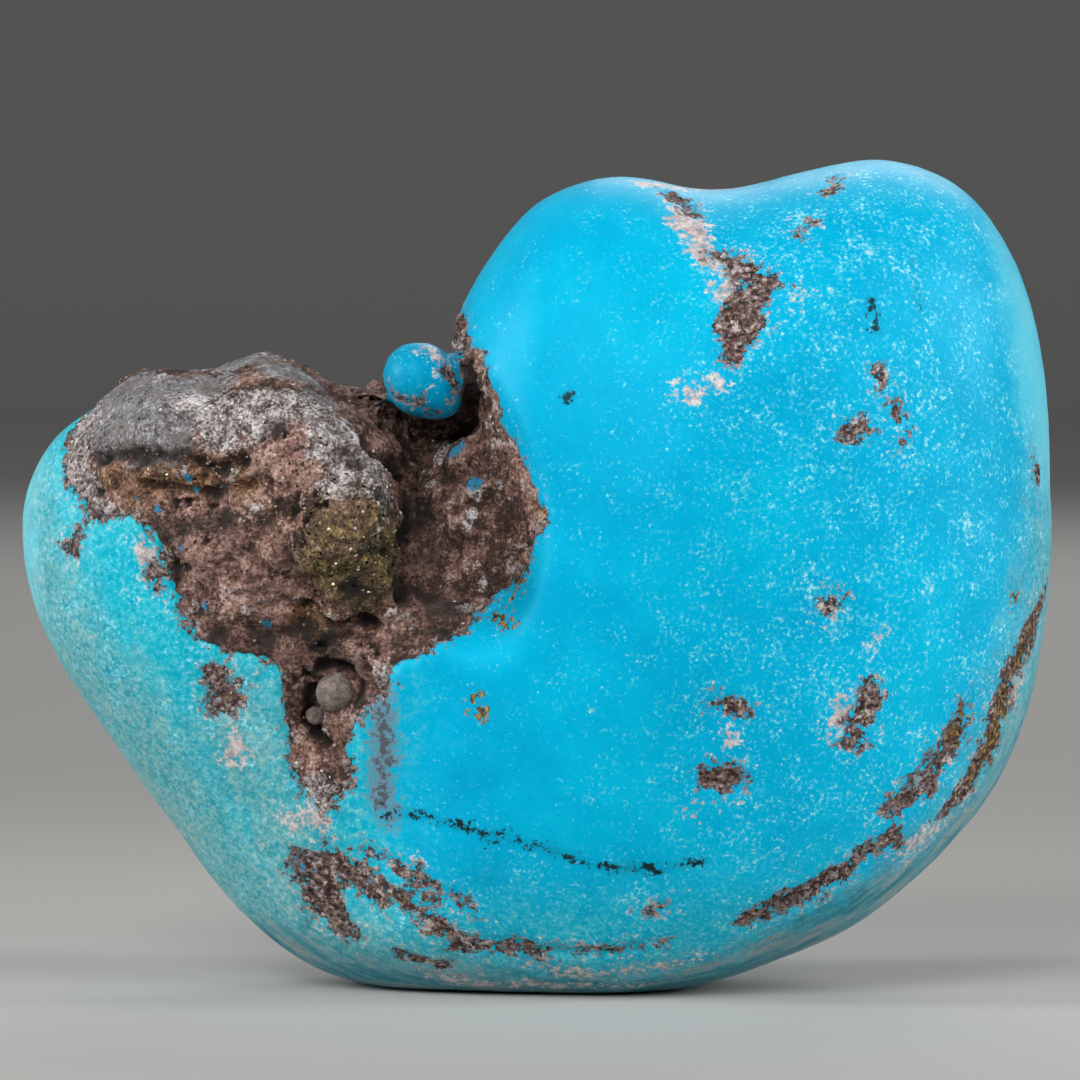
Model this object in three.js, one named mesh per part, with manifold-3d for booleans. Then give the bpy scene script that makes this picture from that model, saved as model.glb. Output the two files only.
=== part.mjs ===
// A tumbled turquoise nugget standing on its worn foot: a right lobe and a smaller left lobe, with a hollow
// between them where the host rock still shows, and one small turquoise bead lodged in the hollow.
// Millimetres, +Z up, +X to the right seen from the front, the front facing -Y. The nugget formed as one
// piece, so it is one mesh. The origin is under the middle of its bounding box, on the surface it stands on.
import * as THREE from "three";
import { mergeVertices } from "three/addons/utils/BufferGeometryUtils.js";
import Module from "manifold-3d";

const { degToRad, lerp, smoothstep } = THREE.MathUtils;

// Driving dimensions.
const HEART = new THREE.Vector3(0.7, 0, 11.3); // every part of the skin but the bead can be seen from here
const ROUNDING = 2.6; // 2 makes an ellipsoid, more makes the faces flatter and the edges fuller
const HALF_THICKNESS = {
  front: { left: 5.4, right: 7.6 },
  back: { left: 5.8, right: 7.0 },
};
const LOBES = { leftX: -9, rightX: 5 }; // between these the thickness changes from one lobe's to the other's
const RIDGE = { wander: 0.7, waves: 2, phase: 0.6 }; // how the widest line strays to the front and back
const RELIEF_FULL_AT = 0.55; // share of the half thickness where the relief has faded in completely
const SKIN_SEGMENTS = 20; // along each edge of the icosahedron that the skin starts as
const HOLLOW_FOCUS = new THREE.Vector3(-5.2, -5, 4.7).normalize(); // from the heart towards the hollow
const HOLLOW_CROWDING = 0.35; // 0 spreads the triangles evenly, more gathers them at the hollow
const OUTLINE_SAMPLES = 1440;
const MERGE_DISTANCE = 1e-5; // of the unit sphere's vertices

// The outline seen from the front, counter-clockwise from the right-hand side, as [x, z]. Below the foot it
// dips a little under the ground, and the foot is worn flat there.
const OUTLINE = [
  [14.96, 13.0],
  [14.55, 19.0],
  [13.55, 21.75],
  [12.2, 23.25],
  [10.1, 23.95],
  [7.9, 23.65],
  [5.7, 23.15],
  [4.4, 23.15],
  [3.0, 23.45],
  [1.5, 23.38],
  [-0.1, 22.65],
  [-1.4, 21.05],
  [-2.2, 19.6],
  [-2.75, 18.3],
  [-4.4, 17.95],
  [-5.7, 17.75],
  [-6.8, 18.15],
  [-7.9, 18.35],
  [-8.9, 17.95],
  [-9.8, 17.75],
  [-11.1, 17.85],
  [-12.1, 17.5],
  [-12.6, 16.9],
  [-13.6, 16.3],
  [-14.5, 15.2],
  [-14.96, 13.5],
  [-14.7, 11.5],
  [-13.95, 9.6],
  [-12.3, 7.0],
  [-10.55, 4.65],
  [-8.95, 2.5],
  [-6.85, 0.75],
  [-4.9, 0.0],
  [-2.5, -0.28],
  [1.5, -0.32],
  [3.7, -0.1],
  [5.3, 0.24],
  [6.8, 0.75],
  [9.15, 1.85],
  [11.3, 3.5],
  [13.15, 5.7],
  [14.3, 8.3],
  [14.8, 10.9],
];

// Swells and dents of the front face: at [x, z], reaching radii [across, up], turned by a few degrees, and
// proud by so many millimetres (negative is sunk). Brink is the share of the reach that stays level.
const FRONT_RELIEF = [
  { what: "right lobe's belly", at: [6.8, 13.0], reach: [8.0, 9.0], turn: 0, proud: 0.35, brink: 0 },
  { what: "left lobe's belly", at: [-11.4, 9.6], reach: [4.0, 6.0], turn: 25, proud: 0.45, brink: 0 },
  { what: "waist under the hollow", at: [-4.6, 4.6], reach: [2.6, 5.5], turn: -20, proud: -0.35, brink: 0 },
  { what: "rock shelf", at: [-8.2, 15.3], reach: [5.0, 3.5], turn: -8, proud: 1.15, brink: 0.62 },
  { what: "shelf's left knob", at: [-10.9, 16.4], reach: [1.9, 1.6], turn: 10, proud: 0.4, brink: 0.1 },
  { what: "dip between the knobs", at: [-9.3, 16.9], reach: [0.9, 1.3], turn: 0, proud: -0.35, brink: 0 },
  { what: "shelf's right knob", at: [-7.3, 16.6], reach: [2.2, 1.9], turn: -15, proud: 0.6, brink: 0.1 },
  { what: "step under the crust", at: [-9.7, 14.1], reach: [2.9, 1.0], turn: -8, proud: -0.6, brink: 0.25 },
  { what: "brown boss", at: [-8.0, 12.2], reach: [2.2, 1.7], turn: -20, proud: 0.45, brink: 0.1 },
  { what: "pyrite boss", at: [-5.3, 12.9], reach: [1.7, 2.2], turn: 15, proud: 0.85, brink: 0.15 },
  { what: "lower lip", at: [-6.3, 10.9], reach: [2.6, 0.8], turn: -22, proud: -0.4, brink: 0.2 },
  { what: "recess by right lobe", at: [-2.1, 14.1], reach: [2.5, 4.6], turn: 10, proud: -1.7, brink: 0.45 },
  { what: "top of the groove", at: [-3.7, 16.0], reach: [1.6, 2.5], turn: 28, proud: -1.6, brink: 0.2 },
  { what: "groove beside the shelf", at: [-3.5, 13.3], reach: [1.2, 3.1], turn: 4, proud: -1.3, brink: 0.1 },
  { what: "foot of the groove", at: [-4.0, 10.9], reach: [2.0, 1.1], turn: 30, proud: -0.5, brink: 0.1 },
  { what: "gap right of the bead", at: [-2.25, 17.0], reach: [0.9, 1.7], turn: 12, proud: -1.6, brink: 0.2 },
  { what: "gap under the bead", at: [-3.2, 16.0], reach: [1.5, 0.9], turn: -40, proud: -0.9, brink: 0.2 },
  { what: "tail of the hollow", at: [-6.2, 7.9], reach: [1.2, 2.6], turn: 0, proud: -0.45, brink: 0.4 },
];
const BACK_RELIEF = [
  { what: "right lobe's back", at: [7.5, 14.5], reach: [7.5, 8.5], turn: 15, proud: 0.5, brink: 0 },
  { what: "saddle of the lobes", at: [-2.6, 12.5], reach: [3.8, 8.5], turn: -16, proud: -0.95, brink: 0 },
  { what: "thumb dent", at: [2.2, 8.2], reach: [4.6, 3.2], turn: 40, proud: -0.6, brink: 0 },
  { what: "left lobe's back", at: [-9.5, 10.0], reach: [5.0, 5.5], turn: -20, proud: 0.6, brink: 0 },
  { what: "low swell", at: [6.2, 17.2], reach: [3.6, 2.8], turn: -25, proud: 0.35, brink: 0 },
  { what: "flat by the edge", at: [11.2, 11.5], reach: [2.6, 4.8], turn: 8, proud: -0.5, brink: 0.2 },
  { what: "weathered scar", at: [6.3, 5.6], reach: [3.6, 1.7], turn: 24, proud: -0.55, brink: 0.35 },
  { what: "scar's far end", at: [9.0, 7.2], reach: [1.6, 1.1], turn: 40, proud: -0.3, brink: 0.2 },
  { what: "crease", at: [-6.4, 6.2], reach: [1.1, 3.2], turn: 38, proud: -0.4, brink: 0.1 },
  { what: "ledge behind the shelf", at: [-7.0, 16.2], reach: [5.2, 2.9], turn: 4, proud: -1.0, brink: 0.35 },
  { what: "notch's back", at: [-3.4, 17.0], reach: [1.7, 2.0], turn: 20, proud: -0.6, brink: 0.1 },
];

// The bead: an egg of turquoise lodged in the notch, its blunt end up and to the left.
const BEAD = {
  at: new THREE.Vector3(-3.2, -3.5, 17.6),
  radii: [1.3, 1.2, 1.1],
  drawnIn: 0.25, // how far the narrow end is drawn in, as a share
  drawnInFrom: -0.2, // where that begins along the egg, from -1 at the blunt end to 1 at the narrow end
  turn: degToRad(38), // about Y, the narrow end down to the right
  segments: 5, // along each edge of the icosahedron that the bead starts as
};

// Distance from the heart to the outline, by the angle seen from the front. The outline winds round the heart
// once, so each angle meets it once.
function makeOutlineRadius() {
  const curve = new THREE.CatmullRomCurve3(
    OUTLINE.map(([x, z]) => new THREE.Vector3(x, 0, z)),
    true,
    "centripetal",
  );
  const turns = curve
    .getPoints(OUTLINE_SAMPLES)
    .slice(0, -1)
    .map((p) => p.sub(HEART))
    .map((p) => ({ angle: Math.atan2(p.z, p.x), radius: Math.hypot(p.x, p.z) }))
    .sort((a, b) => a.angle - b.angle);
  const fullTurn = 2 * Math.PI;
  const first = turns[0];
  const last = turns.at(-1);
  turns.unshift({ angle: last.angle - fullTurn, radius: last.radius });
  turns.push({ angle: first.angle + fullTurn, radius: first.radius });
  return (angle) => {
    let low = 0;
    let high = turns.length - 1;
    while (high - low > 1) {
      const middle = (low + high) >> 1;
      if (turns[middle].angle <= angle) low = middle;
      else high = middle;
    }
    const share = (angle - turns[low].angle) / (turns[high].angle - turns[low].angle);
    return lerp(turns[low].radius, turns[high].radius, share);
  };
}

// How far the swells and dents raise the face at (x, z).
function reliefAt(features, x, z) {
  let raised = 0;
  for (const { at, reach, turn, proud, brink } of features) {
    const angle = degToRad(turn);
    const [dx, dz] = [x - at[0], z - at[1]];
    const across = (dx * Math.cos(angle) + dz * Math.sin(angle)) / reach[0];
    const up = (dz * Math.cos(angle) - dx * Math.sin(angle)) / reach[1];
    raised += proud * (1 - smoothstep(Math.hypot(across, up), brink, 1));
  }
  return raised;
}

// The skin's point in a direction from the heart: a pillow on the outline, given each lobe's thickness, then
// the relief, which fades towards the widest line, and last the worn foot.
function skinPoint(direction, outlineRadius) {
  const inPlane = Math.hypot(direction.x, direction.z);
  const angle = Math.atan2(direction.z, direction.x);
  const side = direction.y < 0 ? "front" : "back";
  const meanHalf = (HALF_THICKNESS[side].left + HALF_THICKNESS[side].right) / 2;
  const across = inPlane / outlineRadius(angle);
  const deep = Math.abs(direction.y) / meanHalf;
  const radius = (across ** ROUNDING + deep ** ROUNDING) ** (-1 / ROUNDING);
  const point = direction.clone().multiplyScalar(radius).add(HEART);
  const lobe = smoothstep(point.x, LOBES.leftX, LOBES.rightX);
  const half = lerp(HALF_THICKNESS[side].left, HALF_THICKNESS[side].right, lobe);
  const fullness = Math.abs(point.y) / meanHalf;
  const features = side === "front" ? FRONT_RELIEF : BACK_RELIEF;
  const fade = smoothstep(fullness, 0, RELIEF_FULL_AT);
  const depth = fullness * half + fade * reliefAt(features, point.x, point.z);
  const wander = RIDGE.wander * Math.sin(RIDGE.waves * angle + RIDGE.phase) * (1 - fullness);
  point.y = (side === "front" ? -depth : depth) + wander;
  point.z = Math.max(point.z, 0);
  return point;
}

// Moves every vertex of a geometry with a function of its position, and merges what meets.
function reshape(geometry, move) {
  geometry.deleteAttribute("normal");
  geometry.deleteAttribute("uv");
  const merged = mergeVertices(geometry, MERGE_DISTANCE);
  const position = merged.getAttribute("position");
  const vertex = new THREE.Vector3();
  for (let i = 0; i < position.count; i++) {
    position.setXYZ(i, ...move(vertex.fromBufferAttribute(position, i)).toArray());
  }
  return merged;
}

function makeSkin() {
  const outlineRadius = makeOutlineRadius();
  const crowding = HOLLOW_FOCUS.clone().multiplyScalar(HOLLOW_CROWDING);
  return reshape(new THREE.IcosahedronGeometry(1, SKIN_SEGMENTS), (vertex) =>
    skinPoint(vertex.normalize().add(crowding).normalize(), outlineRadius),
  );
}

function makeBead() {
  const [rx, ry, rz] = BEAD.radii;
  const turn = new THREE.Matrix4().makeRotationY(BEAD.turn);
  return reshape(new THREE.IcosahedronGeometry(1, BEAD.segments), (vertex) => {
    vertex.normalize();
    const slim = 1 - BEAD.drawnIn * smoothstep(vertex.x, BEAD.drawnInFrom, 1);
    return vertex
      .set(rx * vertex.x, ry * vertex.y * slim, rz * vertex.z * slim)
      .applyMatrix4(turn)
      .add(BEAD.at);
  });
}

// One solid from overlapping closed geometries.
async function joined(geometries) {
  const wasm = await Module();
  wasm.setup();
  const solids = geometries.map(
    (g) =>
      new wasm.Manifold(
        new wasm.Mesh({
          numProp: 3,
          vertProperties: g.getAttribute("position").array,
          triVerts: new Uint32Array(g.index.array),
        }),
      ),
  );
  const whole = solids.reduce((sum, solid) => sum.add(solid)).getMesh();
  const geometry = new THREE.BufferGeometry();
  geometry.setAttribute("position", new THREE.BufferAttribute(whole.vertProperties, 3));
  geometry.setIndex(new THREE.BufferAttribute(whole.triVerts, 1));
  geometry.computeVertexNormals();
  return geometry;
}

// Puts the origin under the middle of the geometry's bounding box.
function standOnOrigin(geometry) {
  geometry.computeBoundingBox();
  const { min, max } = geometry.boundingBox;
  return geometry.translate(-(min.x + max.x) / 2, -(min.y + max.y) / 2, -min.z);
}

const turquoise = new THREE.MeshStandardMaterial({
  name: "turquoise",
  color: 0x14b4d8,
  roughness: 0.35,
  metalness: 0,
});

const nugget = new THREE.Mesh(standOnOrigin(await joined([makeSkin(), makeBead()])), turquoise);
nugget.name = "nugget";

const part = new THREE.Group();
part.name = "turquoise_nugget";
part.add(nugget);

export default part;
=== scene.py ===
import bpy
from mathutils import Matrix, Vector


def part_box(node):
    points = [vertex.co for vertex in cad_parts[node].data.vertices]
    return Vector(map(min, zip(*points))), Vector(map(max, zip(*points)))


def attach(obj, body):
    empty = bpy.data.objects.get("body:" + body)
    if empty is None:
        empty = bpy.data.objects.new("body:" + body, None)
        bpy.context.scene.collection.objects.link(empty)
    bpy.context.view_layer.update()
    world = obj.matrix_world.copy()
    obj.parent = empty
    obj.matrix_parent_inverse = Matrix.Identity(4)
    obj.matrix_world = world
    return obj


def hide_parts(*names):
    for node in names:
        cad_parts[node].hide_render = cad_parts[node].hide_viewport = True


bl_info = {
    "name": "Turquoise Nugget",
    "version": (1, 0, 0),
    "blender": (4, 5, 0),
    "location": "3D View > Sidebar > Nugget",
    "description": "A tumbled turquoise nugget with its host rock showing in a hollow",
    "category": "Add Mesh",
}

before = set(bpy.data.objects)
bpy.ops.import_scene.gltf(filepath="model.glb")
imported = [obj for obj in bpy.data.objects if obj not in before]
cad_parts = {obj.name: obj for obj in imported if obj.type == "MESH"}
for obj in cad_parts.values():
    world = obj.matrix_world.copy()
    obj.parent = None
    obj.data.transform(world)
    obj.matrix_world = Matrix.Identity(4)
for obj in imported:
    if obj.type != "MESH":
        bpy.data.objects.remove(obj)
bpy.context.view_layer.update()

import functools
import math

import bmesh
import bpy
import numpy as np
from bpy.props import FloatProperty, FloatVectorProperty, PointerProperty
from mathutils import Vector, noise
from mathutils.bvhtree import BVHTree

MM = 0.001
LOW, HIGH = (np.array(corner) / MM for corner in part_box("nugget"))
FRONT, BACK = -1, 1  # the sides of the nugget, as directions along Y

# Places are given as (across, up) in hundredths of the nugget's width and height, seen from the front.

# The edge of the host rock in the hollow, down the left, round the tail and up the wall of the large lobe.
# Its ends lie in the air above the rock, which goes over the top to the back.
ROCK_EDGE_FRONT = [
    (7, 76), (6.5, 69.5), (5, 66), (5, 62.5), (6.5, 59), (8.5, 57.5), (12, 57.5), (14, 55), (15.5, 51),
    (16.5, 47), (18, 43), (22.5, 41.5), (26, 40), (26, 34.5), (26.5, 29.5), (28, 24.5), (30, 23),
    (32, 25.5), (32, 30), (33, 34.5), (35.5, 37), (37, 40), (40, 42.5), (43.5, 45.5), (47, 49.5),
    (49, 53), (50.5, 57.5), (49.5, 61.5), (48, 65), (46.5, 69), (45.5, 73), (44.5, 76.5), (43, 80), (42, 84),
]  # fmt: skip
ROCK_EDGE_BACK = [
    (7, 80), (8, 70), (11, 65), (15, 67), (19, 61), (24, 63.5), (28, 66), (31, 69), (34.5, 71.5),
    (38, 70.5), (42, 73), (44, 78), (43, 84),
]  # fmt: skip

# Marks on the turquoise, each a chain of (across, up, radius in mm).
FRONT_MARKS = {
    "brown": [
        [(67, 89.5, 0.2), (69, 87, 0.45), (72, 85.5, 0.35)],  # patch on the large lobe
        [(70.5, 84.5, 0.5), (69, 81, 0.6), (68.5, 77, 0.25)],
        [(62.5, 96, 0.2), (65, 93.5, 0.2)],  # at the crown's dip
        [(75.5, 92.5, 0.2), (75, 91.5, 0.15)],
        [(78, 96.5, 0.17), (78.5, 98, 0.12)],
        [(82, 75, 0.18), (82.5, 73, 0.24)],
        [(84, 70.5, 0.17), (84.5, 70, 0.14)],
        [(79, 68, 0.12), (81, 69, 0.22)],
        [(84.5, 67, 0.1), (84.5, 65.5, 0.12)],
        [(77.5, 49, 0.14), (77.5, 47, 0.25)],
        [(66, 36.5, 0.17), (68, 35.5, 0.38)],
        [(65.5, 27, 0.25), (67.5, 27.5, 0.45), (69, 27, 0.22)],
        [(65, 24.5, 0.13), (65.5, 24.5, 0.12)],
        [(81.5, 37.5, 0.28), (80.5, 34.5, 0.42), (80, 32, 0.3)],
        [(61, 11.5, 0.2), (62.5, 12, 0.13)],
        [(19.5, 38.5, 0.38), (20.5, 36.5, 0.5), (19.5, 35, 0.35)],  # under the hollow
        [(26.5, 17.5, 0.25), (29, 15, 0.78), (30, 11, 0.66), (32.5, 7.5, 0.25)],  # low left patch
        [(30, 16.5, 0.5), (33, 14.5, 0.46), (35, 12, 0.2)],
        [(34, 18, 0.2), (38, 15.5, 0.25), (41.5, 13, 0.2), (44, 11.5, 0.12)],  # veins out of it
        [(34.5, 14.5, 0.2), (40, 9.5, 0.3), (43.5, 7, 0.28), (49.5, 6.5, 0.2), (53.5, 5.5, 0.17)],
        [(37, 5.5, 0.14), (41.5, 4, 0.1)],
        [(44.5, 7.5, 0.14), (50.5, 6, 0.18), (56, 6, 0.15), (62, 7.5, 0.12)],
        [(99, 48.5, 0.25), (97, 43, 0.44), (95, 38.5, 0.44), (94, 34.5, 0.5), (93.5, 30.5, 0.42)],
        [(93.5, 30.5, 0.42), (90.5, 25, 0.38), (89, 22.5, 0.3)],  # veins round the lower right
        [(91, 35.5, 0.25), (89, 30.5, 0.42), (86.5, 26.5, 0.48), (83.5, 23, 0.3)],
        [(83.5, 20, 0.22), (80.5, 17, 0.32), (75.5, 13, 0.38), (72, 11, 0.34), (69.5, 10, 0.22)],
        [(6.5, 56, 0.18), (5.5, 54.5, 0.24)],
        [(98, 64, 0.13), (98, 62, 0.11)],
        [(13.5, 51, 0.1), (14.5, 48.5, 0.14)],
        [(41.6, 75.2, 0.16), (42.4, 72.5, 0.2)],  # crust on the bead
        [(36.8, 71.8, 0.08), (38.4, 70.9, 0.12), (39.6, 70.2, 0.08)],
    ],
    "white": [
        [(63, 95.5, 0.3), (64.5, 92.5, 0.42), (66, 89.5, 0.34)],  # down to the patch on the large lobe
        [(66.5, 88.5, 0.34), (68.8, 87.5, 0.5), (67.6, 84, 0.3)],
        [(68, 33, 0.22), (68, 32, 0.14)],
        [(79, 36, 0.24), (78.5, 34, 0.26)],
        [(82, 44, 0.17), (81.5, 43, 0.13)],
        [(29.5, 24.5, 0.2), (29, 22, 0.36)],  # under the tail of the hollow
        [(74.5, 83.5, 0.13), (74.5, 83, 0.1)],
        [(38, 16, 0.27), (39, 15.5, 0.18)],
        [(80.5, 17, 0.2), (80, 16, 0.14)],
        [(19, 34.5, 0.24), (21, 34.5, 0.2)],
        [(63.5, 73, 0.2), (65, 72, 0.14)],
        [(12.5, 54, 0.24), (13.5, 52.5, 0.26)],
        [(66.5, 73.5, 0.14), (67, 73.5, 0.12)],
        [(21, 29.5, 0.24), (22, 30.5, 0.2)],
        [(98, 45, 0.16), (96.4, 40.5, 0.28), (95.2, 36, 0.3), (93.5, 32, 0.16)],  # in the lower right veins
        [(92, 26, 0.14), (89, 22, 0.2), (85, 17.5, 0.2)],
        [(39.8, 77.4, 0.14), (41.2, 76, 0.26)],  # crust on the bead
        [(60, 97, 0.2), (66, 96.5, 0.26), (69, 97, 0.2)],  # along the crown's dip
        [(49, 4, 0.02), (57, 3.2, 0.14), (66, 5.5, 0.02)],  # streaks low down
        [(40, 2, 0.02), (50, 1.5, 0.12), (60, 1.5, 0.02)],
        [(26, 22, 0.1), (27, 20.5, 0.16)],
    ],
    "gold": [
        [(46.3, 46, 0.12), (47.7, 45.2, 0.14)],
        [(44, 37, 0.1), (44.4, 35.8, 0.12), (44.8, 34.8, 0.13)],
        [(49, 51.5, 0.12), (48, 48.5, 0.1)],
        [(95.5, 48, 0.12), (95.5, 47.5, 0.1)],
        [(98.6, 47, 0.04), (96.8, 42, 0.12), (95.6, 39.5, 0.08)],
        [(94.6, 36.5, 0.14), (93.8, 31.5, 0.14), (91.4, 26, 0.08)],
        [(90.6, 34.5, 0.14), (89.6, 31.5, 0.16)],
    ],
    "grey": [
        [(35.4, 37.5, 0.3), (35.6, 30.5, 0.36), (35.2, 24.5, 0.3), (36, 22, 0.26)],  # beside the tail
    ],
    "dark": [
        [(35.5, 22.6, 0.12), (39, 22.5, 0.12), (43.5, 21, 0.12), (50.5, 19, 0.12)],  # dotted line
        [(50.5, 19, 0.12), (56, 17, 0.1), (60, 16.5, 0.1), (66, 17.5, 0.06)],
        [(53, 72.5, 0.12), (53, 72, 0.09)],
        [(81.5, 83.5, 0.08), (82, 80, 0.09)],
        [(85.5, 88, 0.06), (86, 83, 0.06)],
    ],
}
BACK_MARKS = {
    "brown": [
        [(60, 16, 0.4), (67, 20.5, 0.85), (73, 25, 0.95), (79, 30, 0.6), (84, 36, 0.25)],  # scar
        [(22, 40, 0.12), (25, 34, 0.25), (28, 27, 0.35), (32, 19, 0.25), (38, 12, 0.18)],  # crease
        [(54, 70, 0.3), (56, 66, 0.45), (58, 64, 0.25)],
        [(86, 62, 0.2), (87.5, 58, 0.3)],
        [(44, 45, 0.2), (45, 43, 0.26)],
        [(71, 82, 0.16), (73, 78, 0.25)],
        [(11, 47, 0.3), (13, 43, 0.4)],
        [(89, 26, 0.2), (92, 34, 0.26), (95, 42, 0.2), (98, 47, 0.17)],
        [(70, 10, 0.16), (62, 7, 0.22), (54, 5.5, 0.16)],
        [(24, 12, 0.2), (29, 7, 0.35), (35, 5, 0.2)],
    ],
    "white": [
        [(58, 20, 0.25), (62, 21, 0.35)],
        [(77, 25, 0.3), (80, 26.5, 0.2)],
        [(53, 68, 0.2), (54, 65, 0.22)],
        [(13.5, 46, 0.26), (15, 43, 0.2)],
        [(64, 96, 0.25), (68, 95, 0.2)],
        [(33, 68, 0.3), (37, 66, 0.4), (41, 67, 0.3)],
    ],
    "gold": [[(70, 24, 0.2), (72, 26, 0.16)], [(28.5, 25, 0.13), (29, 23.5, 0.1)]],
    "grey": [
        [(66, 58, 0.2), (70, 44, 0.25), (73, 27, 0.25)],
        [(22, 62, 0.2), (20, 50, 0.25), (25, 36, 0.2)],
    ],
    "dark": [
        [(46, 88, 0.06), (52, 76, 0.1), (57, 65, 0.12), (66, 58, 0.1), (78, 55, 0.09), (90, 58, 0.06)],
        [(57, 65, 0.1), (52, 55, 0.1), (45, 44, 0.12), (36, 38, 0.09), (28, 27, 0.1)],
        [(66, 58, 0.09), (70, 44, 0.1), (73, 25, 0.12)],
        [(45, 44, 0.09), (48, 30, 0.1), (58, 18, 0.1)],
        [(11, 47, 0.1), (18, 36, 0.09), (25, 34, 0.1)],
    ],
}

# Bands that run round the rim, each a chain of (across, up, radius in mm) seen from the front, the same on
# the front and the back. These are tan and pale layers, under the nugget and up its right end.
LAYERS = [
    [(24, 7, 0.5), (32, 1, 1.0), (44, -1, 1.2), (58, -1, 1.1), (69, 0, 1.3), (79, 6, 1.5)],
    [(79, 6, 1.5), (89, 14, 1.4), (97, 27, 0.9), (101, 42, 0.5), (102, 56, 0.2)],
]
# Where the turquoise is sandy and greyish: down the outside of the small lobe, and up the right end.
SANDY = [
    [(-1, 62, 0.8), (2, 44, 1.3), (10, 25, 2.0), (17, 11, 2.2), (28, 2, 2.0), (42, -2, 1.2)],
    [(22, 33, 0.7), (25, 20, 0.8)],
    [(90, 17, 0.4), (96, 28, 0.8), (99, 40, 0.8), (100.5, 54, 0.4), (101, 66, 0.1)],
]
# Where the polish is rubbed chalky along both ends, with a painted highlight: the pale sheen of the ends laid
# into the colour.
RUBBED_AND_SHEEN = [
    [(94, 92, 0.4), (97, 82, 0.9), (99, 68, 0.9), (100, 56, 0.4)],
    [(2, 66, 0.3), (0, 56, 0.8), (0.5, 46, 0.8), (4, 36, 0.3)],
]

# Cracks in the host rock: (across, up) points, how wide and how deep in mm.
CRACKS = [
    ([(8.5, 64.6), (12.5, 65), (17, 64.6), (20, 63.6), (22.5, 64.4)], 0.2, 0.4),  # under the grey crust
    ([(13, 61.5), (17, 60.8), (20, 60.4), (23.5, 61.6)], 0.14, 0.2),
    ([(22, 56.5), (23.5, 53), (28, 50)], 0.16, 0.12),
    ([(33.9, 67), (34.8, 65.2), (36.4, 63.5)], 0.26, 0.55),  # right of the shelf
    ([(36.3, 64.5), (37.5, 60), (37.8, 54), (37.3, 48.5)], 0.32, 0.5),
    ([(36.6, 70.6), (39.5, 68.2), (42, 67.6), (43.9, 70.5), (43.9, 76)], 0.36, 0.5),  # round the bead
    ([(39.5, 59.3), (40, 57.5)], 0.2, 0.35),
    ([(34, 45.7), (34.6, 45)], 0.17, 0.4),
    ([(28.2, 38.2), (29.5, 39.9), (31.6, 40), (33, 38.3), (33.1, 35.8)], 0.14, 0.4),  # round the pebble
    ([(28.7, 37), (28.2, 34), (28.9, 31.8), (30, 30.8)], 0.16, 0.5),
    ([(24, 44), (28, 43.5), (33, 43)], 0.14, 0.14),
    ([(42, 62), (43, 57), (42, 51)], 0.16, 0.16),
]

# Bosses, swells and pits of the host rock: (across, up), reach and height in mm.
BOSSES = [
    ((13, 68), 1.2, 0.1),
    ((19, 68.5), 0.9, 0.08),
    ((28, 66), 1.4, 0.14),
    ((33, 58), 1.3, 0.12),
    ((32, 53), 1.4, 0.18),
    ((24, 48.5), 1.4, 0.16),
    ((18.5, 55), 1.0, 0.1),
    ((42, 64), 0.5, 0.16),
    ((46, 55), 1.2, 0.1),
    ((31, 37), 0.75, -0.45),
    ((28.8, 33.5), 0.5, -0.4),
    ((39, 52), 1.0, -0.25),
]
SADDLE = ((35.5, 77.5), 2.1, 0.85)  # a dip behind the bead, the same right through to the back

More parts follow.
